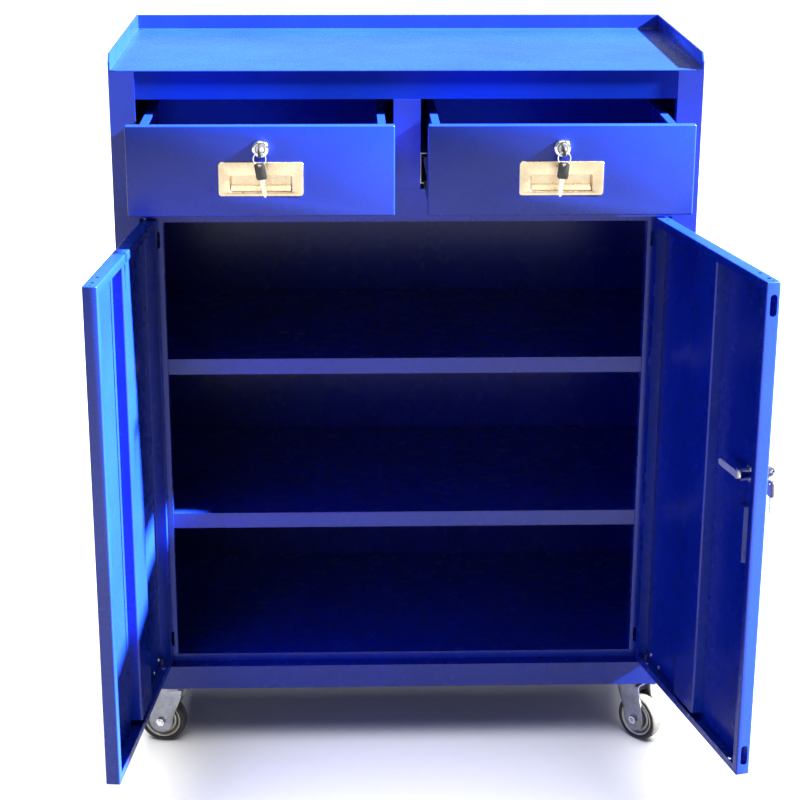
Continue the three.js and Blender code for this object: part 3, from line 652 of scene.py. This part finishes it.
def build_ring(shape):
    """Split ring: two turns of flat-sided wire."""
    turns, steps, sides = 1.85, 74, 8
    rings = []
    for step in range(steps + 1):
        angle = 2 * math.pi * turns * step / steps + 0.6
        offset = (step / steps - 0.5) * 1.0 * MM
        radial = Vector((math.cos(angle), 0, math.sin(angle)))
        centre = radial * RING_RADIUS + Vector((0, RING_Y + offset, -RING_RADIUS))
        rings.append([centre + radial * (0.75 * MM * math.cos(a)) + Vector((0, 0.5 * MM * math.sin(a), 0))
                      for a in (2 * math.pi * i / sides for i in range(sides))])
    loft(shape, rings)


def spare_place(lean):
    """Frame of the spare key: hung from the lowest point of the ring."""
    return shift(0, RING_Y, -2 * RING_RADIUS) @ turn(lean, "Y") @ shift(0, 0, 3 * MM)


def build_spare_bow(shape):
    sizes = ((0.88, -2.2), (0.96, -1.9), (1.0, -1.3), (1.0, 1.3), (0.96, 1.9), (0.88, 2.2))
    rings = []
    for scale, y in sizes:
        outline = rounded_rectangle(15 * MM * scale, 23 * MM * scale ** 0.5, 3.2 * MM * scale,
                                    (0, -11.5 * MM))
        rings.append([(u, y * MM, v) for u, v in outline])
    loft(shape, rings)


def build_spare_blade(shape):
    """Key blade with cuts along one edge and a pointed end."""
    edge = [(3.4, -21.5), (3.4, -26.0), (2.2, -28.0), (3.0, -30.0), (1.6, -32.0), (2.8, -34.5), (1.8, -37.0),
            (3.0, -39.5), (2.4, -41.5), (3.0, -43.5), (0.6, -47.6)]
    outline = [(u * MM, v * MM) for u, v in edge] + [(-0.8 * MM, -47.6 * MM), (-3.2 * MM, -44.0 * MM),
                                                     (-3.4 * MM, -21.5 * MM)]
    loft(shape, [[(u, y * MM, v) for u, v in outline] for y in (-0.8, 0.8)])


def lock(name):
    """A cam lock's housing and nut, the key in it, and the split ring with the spare key."""
    place = lock_place(name)
    plug_body = f"{name}_lock"
    key_body = f"{name}_spare_key"
    housing = make(f"{name}_lock_housing", build_lock_body, name, CHROME, place)
    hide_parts(f"{name}_lock_body")
    make(f"{name}_lock_nut", build_lock_nut, name, ZINC, place)
    bow = make(f"{name}_key_bow", build_key_bow, plug_body, BLACK, place)
    hole_place = place @ shift(0, RING_Y, 0)
    cut(bow, round_hole(2.7 * MM, 6 * MM, along_x), hole_place)
    shade(bow)
    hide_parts(f"{name}_key")
    make(f"{name}_key_blade", build_key_blade, plug_body, BRASS, place)
    spare_at = place @ spare_place(LEAN[name])
    ring = make(f"{name}_split_ring", build_ring, key_body, CHROME, place)
    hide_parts(f"{name}_spare_key")
    spare = make(f"{name}_spare_key_bow", build_spare_bow, key_body, BLACK, spare_at)
    cut(spare, round_hole(2.6 * MM, 6 * MM), spare_at @ shift(0, 0, -3.4 * MM))
    shade(spare)
    make(f"{name}_spare_key_blade", build_spare_blade, key_body, BRASS, spare_at)


# ---------------------------------------------------------------- worktop
def worktop():
    """Rimmed top: the sheet is hemmed at the front and folded up at the back and both sides."""
    low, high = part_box("worktop")
    top = low[2] + 2 * MM
    rim = 3.0 * MM
    bevel = 12 * MM

    def rim_outline(outer, inward):
        """Section of a folded-over rim: rounded top edge and a small fillet at its foot."""
        points = [(outer, low[2] + 0.6 * MM), (outer, high[2] - 1.4 * MM)]
        for step in range(1, 8):
            angle = math.pi * step / 8
            points.append((outer + inward * rim / 2 * (1 - math.cos(angle)),
                           high[2] - 1.4 * MM + 1.4 * MM * math.sin(angle)))
        points += [(outer + inward * rim, high[2] - 1.4 * MM), (outer + inward * rim, top + 1.6 * MM)]
        for step in range(1, 5):
            angle = math.pi / 2 * step / 4
            points.append((outer + inward * (rim + 1.6 * MM * (1 - math.cos(angle))),
                           top + 1.6 * MM * (1 - math.sin(angle))))
        foot = outer + inward * (rim + 8 * MM)
        points += [(foot, top), (foot, low[2] + 0.6 * MM)]
        return points

    def build_back(shape):
        extrude(shape, rim_outline(high[1], -1), low[0] + 0.2 * MM, high[0] - 0.2 * MM,
                lambda u, v, w: (w, u, v))
    back = make("worktop_back_rim", build_back, "cabinet", BLUE)

    def build_top(shape):
        nose = 1.8 * MM
        outline = [(high[1] - 1 * MM, low[2]), (high[1] - 1 * MM, top - 0.03 * MM)]
        for step in range(0, 7):
            angle = math.pi / 2 * step / 6
            outline.append((low[1] + nose * (1 - math.sin(angle)), top - nose * (1 - math.cos(angle))))
        outline.append((low[1], low[2]))
        extrude(shape, outline, low[0] + 0.4 * MM, high[0] - 0.4 * MM, lambda u, v, w: (w, u, v))
    make("worktop_sheet", build_top, "cabinet", BLUE)

    for side_name, side in SIDES:
        outer = low[0] if side < 0 else high[0]

        def build_side(shape):
            extrude(shape, rim_outline(outer, -side), low[1], high[1] - 0.2 * MM, lambda u, v, w: (u, w, v))
        piece = make(f"worktop_{side_name}_rim", build_side, "cabinet", BLUE)

        def bevel_cutter(shape):
            corner = [(low[1] - 1 * MM, high[2] - bevel - 1 * MM),
                      (low[1] + bevel + 1 * MM, high[2] + 1 * MM), (low[1] - 1 * MM, high[2] + 1 * MM)]
            extrude(shape, corner, outer - 20 * MM, outer + 20 * MM, lambda u, v, w: (w, u, v))
        cut(piece, bevel_cutter)
        round_edges(piece, 0.5 * MM, 2, 35)
        apply_modifiers(piece)
        shade(piece)
    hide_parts("worktop")


# ---------------------------------------------------------------- casters
FORK_SHEET = 2.5 * MM
AXLE_ROUND = 19 * MM
HALF_GAP = 14 * MM
AXLE_AT = (-16 * MM, 37.5 * MM)    # trail and height of the axle, from the swivel axis and the floor


def build_fork(shape):
    """Pressed fork: one strip bent over the swivel head, its legs narrowing to the axle."""
    axle_x, axle_z = AXLE_AT
    head_z = 98.2 * MM
    bend = 5 * MM
    leg = []
    for step in range(7):
        angle = math.pi / 2 * step / 6
        z = axle_z - AXLE_ROUND * math.cos(angle)
        reach = AXLE_ROUND * math.sin(angle)
        half = max(reach, 0.5 * MM)
        leg.append((HALF_GAP + FORK_SHEET, z, axle_x - half, axle_x + half))
    for step in range(1, 7):
        share = step / 6
        z = axle_z + (head_z - bend - axle_z) * share
        ease = share * share * (3 - 2 * share)
        leg.append((HALF_GAP + FORK_SHEET, z, axle_x - AXLE_ROUND + 12 * MM * ease,
                    axle_x + AXLE_ROUND + 17 * MM * ease))
    for step in range(1, 5):
        angle = math.pi / 2 * step / 4
        leg.append((HALF_GAP + FORK_SHEET - bend * (1 - math.cos(angle)),
                    head_z - bend + bend * math.sin(angle), -23 * MM, 20 * MM))
    run = leg + [(-y, z, x0, x1) for y, z, x0, x1 in reversed(leg)]
    columns = 6
    rows = []
    for y, z, x0, x1 in run:
        rows.append([shape.verts.new((x0 + (x1 - x0) * i / columns, y, z)) for i in range(columns + 1)])
    for below, above in zip(rows, rows[1:]):
        for i in range(columns):
            shape.faces.new((below[i], below[i + 1], above[i + 1], above[i]))


def hexagon(shape, radius, y0, y1, centre):
    """Bolt head or nut along y with chamfered corners."""
    low, high = min(y0, y1), max(y0, y1)
    chamfer = (high - low) * 0.2
    rings = []
    for y, scale in ((low, 0.9), (low + chamfer, 1.0), (high - chamfer, 1.0), (high, 0.9)):
        rings.append([(centre[0] + radius * scale * math.cos(math.pi / 3 * i), y,
                       centre[1] + radius * scale * math.sin(math.pi / 3 * i)) for i in range(6)])
    loft(shape, rings)


def caster(name):
    """A swivel caster: mounting plate, dust ring, pressed fork and tyred wheel."""
    place = caster_place(name)
    fork_body = f"{name}_caster"
    wheel_body = f"{name}_caster_wheel"
    wheel_at = place @ shift(AXLE_AT[0], 0, AXLE_AT[1])

    fork = make(f"{name}_pressed_fork", build_fork, fork_body, FORK_ZINC, place)
    thick = fork.modifiers.new("plate", "SOLIDIFY")
    thick.thickness = FORK_SHEET
    thick.offset = -1.0
    round_edges(fork, 0.6 * MM, 2, 50)
    apply_modifiers(fork)
    shade(fork, 40)
    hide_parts(f"{name}_fork")

    def build_axle(shape):
        hexagon(shape, 7.4 * MM, -HALF_GAP - 2.6 * MM, -HALF_GAP - 7.0 * MM, AXLE_AT)
        hexagon(shape, 7.4 * MM, HALF_GAP + 2.6 * MM, HALF_GAP + 7.0 * MM, AXLE_AT)
        profile = [(0.3 * MM, -HALF_GAP - 8.6 * MM), (3.6 * MM, -HALF_GAP - 8.6 * MM),
                   (4.0 * MM, -HALF_GAP - 8.0 * MM), (4.0 * MM, HALF_GAP + 7.0 * MM),
                   (0.3 * MM, HALF_GAP + 7.0 * MM)]
        lathe(shape, profile, 24, about_y_at(*AXLE_AT))
    make(f"{name}_axle_bolt", build_axle, fork_body, CHROME, place)

    def build_race(shape):
        profile = [(5.4, 91.8), (15.0, 91.8), (18.5, 93.0), (21.0, 95.0), (21.6, 97.6), (21.6, 98.2),
                   (5.4, 98.2)]
        lathe(shape, [(r * MM, z * MM) for r, z in profile], 48, about_z)
    make(f"{name}_lower_race", build_race, fork_body, FORK_ZINC, place)

    low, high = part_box(f"{name}_caster_plate")
    cx, cy = (low[0] + high[0]) / 2, (low[1] + high[1]) / 2
    plate_at = shift(cx, cy, 0)

    def build_plate(shape):
        outline = rounded_rectangle(high[0] - low[0], high[1] - low[1], 5 * MM)
        rings = []
        for z, inset in ((high[2] - 3 * MM, 0.985), (high[2] - 2.5 * MM, 1.0), (high[2] - 0.5 * MM, 1.0),
                         (high[2], 0.985)):
            rings.append([(u * inset, v * inset, z) for u, v in outline])
        loft(shape, rings)
        profile = [(4.9, 91.7), (4.9, 99.0), (16.0, 99.0), (19.5, 99.4), (20.6, 100.6), (20.8, 103.0),
                   (20.8, 106.9), (2.0, 106.9), (2.0, 91.7)]
        lathe(shape, [(r * MM, z * MM) for r, z in profile], 48, about_z)
    plate = make(f"{name}_mounting_plate", build_plate, "cabinet", ZINC, plate_at)
    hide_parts(f"{name}_caster_plate")

    def build_dust_ring(shape):
        profile = [(21.2, 99.6), (23.6, 99.8), (24.4, 101.0), (24.0, 103.4), (22.6, 105.2), (21.2, 105.6)]
        lathe(shape, [(r * MM, z * MM) for r, z in profile], 56, about_z)
    make(f"{name}_dust_ring", build_dust_ring, "cabinet", RED, plate_at)

    def build_bolts(shape):
        for bx in (-27 * MM, 27 * MM):
            for by in (-23 * MM, 23 * MM):
                rings = []
                for z, scale in ((100.6, 0.9), (101.4, 1.0), (105.4, 1.0), (106.6, 1.0)):
                    reach = 5.6 * MM * scale
                    rings.append([(bx + reach * math.cos(math.pi / 3 * i),
                                   by + reach * math.sin(math.pi / 3 * i), z * MM) for i in range(6)])
                loft(shape, rings)
    # The plate bolts take the near-black metal whose colour is painted shade.
    make(f"{name}_plate_bolts", build_bolts, "cabinet", BOLT_PAINTED_SHADE, plate_at)

    def build_tyre(shape):
        half = [(29.0, -7.5), (31.0, -10.6), (33.4, -11.6), (35.4, -10.6), (36.6, -8.0), (37.3, -4.0)]
        profile = half + [(37.5, 0)] + [(r, -y) for r, y in half[::-1]] + [(28.6, 0)]
        lathe(shape, [(r * MM, y * MM) for r, y in profile], 72)
    tyre = make(f"{name}_tyre", build_tyre, wheel_body, TYRE, wheel_at, 60)
    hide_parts(f"{name}_wheel")

    def build_hub(shape):
        half = [(28.8, 7.0), (27.0, 8.0), (26.0, 5.8), (24.6, 5.2), (17.0, 4.6), (13.6, 5.2), (12.8, 9.4),
                (11.6, 11.8), (4.4, 11.8)]
        profile = [(r, -y) for r, y in half[::-1]] + half
        lathe(shape, [(r * MM, y * MM) for r, y in profile], 72)
    make(f"{name}_hub", build_hub, wheel_body, HUB, wheel_at, 40)

    rims = [(26.6, 7.4), (26.8, 9.2), (27.6, 10.5), (28.8, 10.9), (29.5, 10.2), (29.4, 8.4), (28.4, 7.6)]
    guards = [(18.6, 5.2), (20.4, 5.0), (22.0, 5.6), (22.6, 6.8), (21.8, 8.0), (20.2, 8.4), (18.8, 7.4)]
    for ring_name, profile in (("hub_rims", rims), ("thread_guards", guards)):
        def build_rings(shape):
            for sign in (-1, 1):
                lathe(shape, [(r * MM, sign * y * MM) for r, y in profile], 56)
        make(f"{name}_{ring_name}", build_rings, wheel_body, PALE_HUB, wheel_at, 50)


# ---------------------------------------------------------------- CAD nodes that stay
def dress(node, material, width, segments=2):
    piece = frame["nodes"][node]
    piece.data.materials.clear()
    piece.data.materials.append(material)
    round_edges(piece, width, segments, 40)


def dress_the_rest():
    folded = ["left_side_panel", "right_side_panel", "back_panel", "top_rail", "centre_post", "mid_rail",
              "floor_panel", "dust_panel", "upper_shelf", "lower_shelf", "slide_support",
              "left_base_channel", "right_base_channel", "left_drawer_box", "right_drawer_box"]
    for node in folded:
        dress(node, FLAT_BLUE if node == "top_rail" else BLUE, 0.45 * MM)
    for side_name, _ in SIDES:
        for part in ("outer_runner", "inner_runner", "top_pivot", "bottom_pivot", "drawer_outer_slide",
                     "drawer_inner_slide"):
            dress(f"{side_name}_{part}", ZINC, 0.3 * MM)
    for name in ("left_drawer", "right_drawer", "right_door"):
        dress(f"{name}_lock_cam", CAM_ZINC, 0.25 * MM)


# ---------------------------------------------------------------- room, light and camera
def staging():
    """The plain pale floor."""
    def build_floor(shape):
        block(shape, (-30, 30), (-30, 30), (-0.02, 0.0))
    floor = new_object("floor", build_floor, weld=False)
    material, tree, shader = node_material("pale_floor")
    link(tree, ramp(tree, noise(tree, 1.2, 2.0), [(0.3, (0.78, 0.78, 0.78)), (0.7, (0.82, 0.82, 0.82))]),
         shader.inputs["Base Color"])
    shader.inputs["Roughness"].default_value = 0.75
    floor.data.materials.append(material)
    return floor


def area_light(name, at, target, size, power, mirrored=False):
    data = bpy.data.lights.new(name, "AREA")
    data.shape = "RECTANGLE"
    data.size, data.size_y = size
    data.energy = power
    light = bpy.data.objects.new(name, data)
    light.location = at
    light.rotation_euler = (Vector(target) - Vector(at)).to_track_quat("-Z", "Y").to_euler()
    light.visible_camera = False
    light.visible_glossy = mirrored
    bpy.context.scene.collection.objects.link(light)
    return light


def link_light(light, pieces, state):
    """Keeps a light on the given pieces alone (INCLUDE), or off them alone (EXCLUDE)."""
    chosen = bpy.data.collections.new(f"{light.name}_receivers")
    for piece in pieces:
        chosen.objects.link(piece)
    for member in chosen.collection_objects:
        member.light_linking.link_state = state
    light.light_linking.receiver_collection = chosen


def sun(name, towards, strength, spread_angle, colour=(1, 1, 1)):
    data = bpy.data.lights.new(name, "SUN")
    data.energy = strength
    data.angle = math.radians(spread_angle)
    data.color = colour
    light = bpy.data.objects.new(name, data)
    light.rotation_euler = Vector(towards).to_track_quat("Z", "Y").to_euler()
    bpy.context.scene.collection.objects.link(light)
    return light


def lights(floor, left_door_pieces):
    """A hard key from the right, soft fills on every side, and a floor lit evenly by itself."""
    key = sun("key", (1.0, -0.045, 0.68), 120.0, 2.0, (1.0, 0.985, 0.95))
    link_light(key, [floor], "EXCLUDE")
    link_light(sun("floor_light", (0.0, 0.0, 1.0), 6.2, 70.0), [floor], "INCLUDE")
    low_fill = area_light("front_fill", (0.0, -1.9, 0.05), (0, -0.2, 0.9), (4.0, 1.2), 42)
    link_light(low_fill, [frame["nodes"]["back_panel"]], "EXCLUDE")
    high_fill = area_light("high_fill", (0, -2.6, 4.2), (0, 0, 0.5), (3.0, 1.5), 70, True)
    inside = ("back_panel", "upper_shelf", "lower_shelf", "floor_panel")
    link_light(high_fill, [frame["nodes"][node] for node in inside], "EXCLUDE")
    area_light("rear_fill", (0, 4.5, 3.0), (0, 0, 0.5), (4.0, 2.0), 260)
    left_fill = area_light("left_fill", (-4.5, 1.0, 1.8), (0, 0, 0.6), (3.0, 2.5), 260)
    outer_left = ("left_side_panel", "left_outer_runner")
    link_light(left_fill, [frame["nodes"][node] for node in outer_left] + left_door_pieces, "INCLUDE")
    world = bpy.data.worlds.new("studio")
    world.use_nodes = True
    background = world.node_tree.nodes["Background"]
    background.inputs["Color"].default_value = (0.82, 0.92, 1.0, 1)
    background.inputs["Strength"].default_value = 0.3
    world.cycles_visibility.diffuse = False
    bpy.context.scene.world = world
    bpy.context.scene.view_settings.view_transform = "Standard"
    floor.visible_diffuse = False


def camera():
    """The photo's view, placed from the front edge of the worktop."""
    data = bpy.data.cameras.new("camera")
    data.sensor_width = 36.0
    data.lens = 88.84
    data.shift_x = -0.00195
    data.shift_y = 0.01256
    view = bpy.data.objects.new("camera", data)
    pitch = math.radians(18.60)
    yaw = math.radians(1.83)
    roll = math.radians(0.20)
    low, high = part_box("worktop")
    at = shift((low[0] + high[0]) / 2 - 0.0966, low[1] - 2.8164, 1.5191)
    view.matrix_world = at @ turn(-yaw, "Z") @ turn(math.pi / 2 - pitch, "X") @ turn(roll, "Z")
    bpy.context.scene.collection.objects.link(view)
    bpy.context.scene.camera = view


camera()
worktop()
door_pieces = {}
for word, sign in SIDES:
    drawer(word)
    door_pieces[word] = door(word, sign, word == "right")
for lock_name in LEAN:
    lock(lock_name)
for caster_name in CASTERS:
    caster(caster_name)
dress_the_rest()
lights(staging(), door_pieces["left"])
